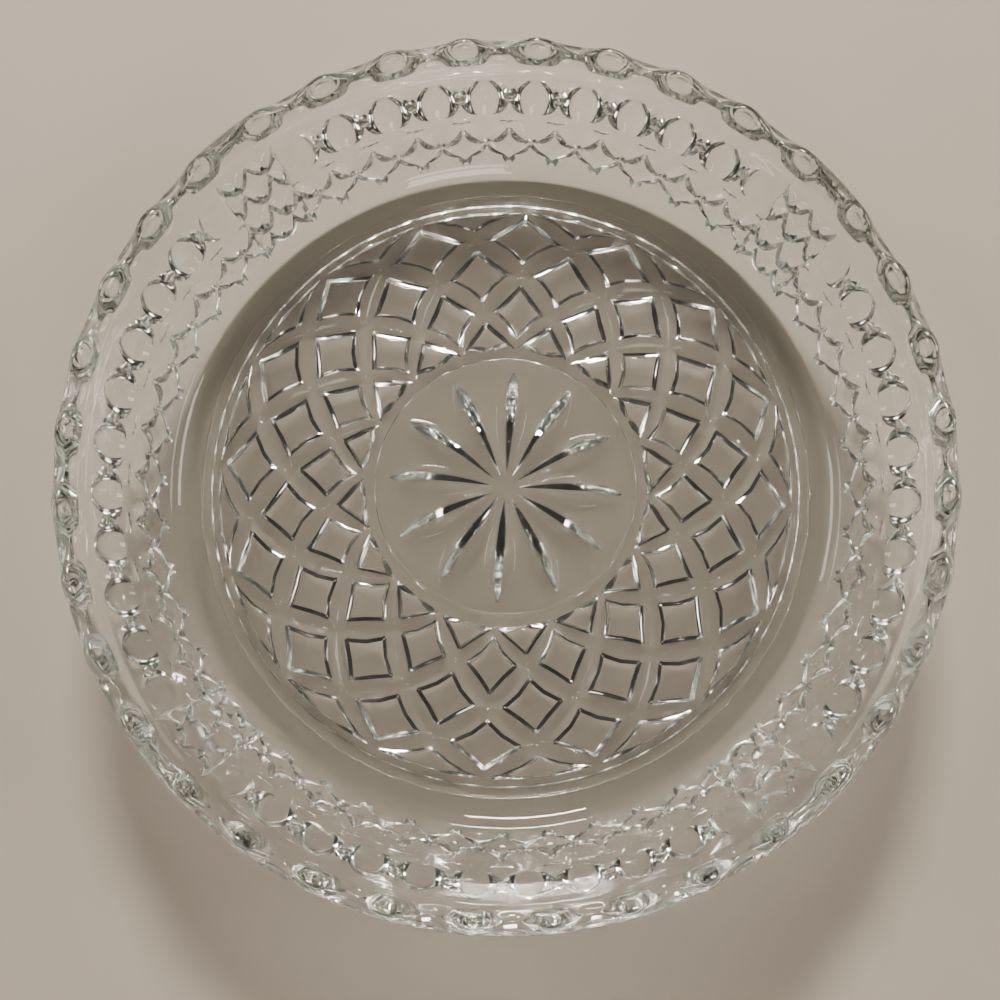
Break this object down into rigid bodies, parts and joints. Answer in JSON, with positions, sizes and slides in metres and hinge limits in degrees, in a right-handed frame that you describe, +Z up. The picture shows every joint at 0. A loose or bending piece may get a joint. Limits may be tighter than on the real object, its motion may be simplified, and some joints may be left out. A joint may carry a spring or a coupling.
{
  "type": "pressed glass bowl",
  "caption": "Shallow round pressed-glass bowl or turned-over cake cover: star and lattice base, flared wall with net and oval bands, thick scalloped rim, open side up.",
  "frame": {"origin": "centre of the resting plane under the foot ring", "axes": "+Z up along the bowl's axis out of the open side; +Y through the middle of the first quarter, halfway between two mould-joint panels"},
  "size_m": [0.2834, 0.2834, 0.0562],
  "materials": {
    "glass_medallion": "clear fire-polished pressed glass, faint grey-green in thick edges",
    "glass_lattice": "clear fire-polished pressed glass, faint grey-green in thick edges",
    "glass_foot": "clear fire-polished pressed glass, faint grey-green in thick edges",
    "glass_cove": "clear fire-polished pressed glass, faint grey-green in thick edges",
    "glass_net": "clear fire-polished pressed glass, faint grey-green in thick edges",
    "glass_oval": "clear fire-polished pressed glass, faint grey-green in thick edges",
    "glass_joint": "clear fire-polished pressed glass, faint grey-green in thick edges",
    "glass_rim": "clear fire-polished pressed glass, faint grey-green in thick edges"
  },
  "bodies": {
    "root": {"star_medallion": "glass_medallion", "lattice_floor": "glass_lattice", "foot_ring": "glass_foot", "cove_ring": "glass_cove", "net_band_q1": "glass_net", "oval_band_q1": "glass_oval", "joint_panel_1": "glass_joint", "rim_q1": "glass_rim", "net_band_q2": "glass_net", "oval_band_q2": "glass_oval", "joint_panel_2": "glass_joint", "rim_q2": "glass_rim", "net_band_q3": "glass_net", "oval_band_q3": "glass_oval", "joint_panel_3": "glass_joint", "rim_q3": "glass_rim", "net_band_q4": "glass_net", "oval_band_q4": "glass_oval", "joint_panel_4": "glass_joint", "rim_q4": "glass_rim"}
  },
  "joints": []
}
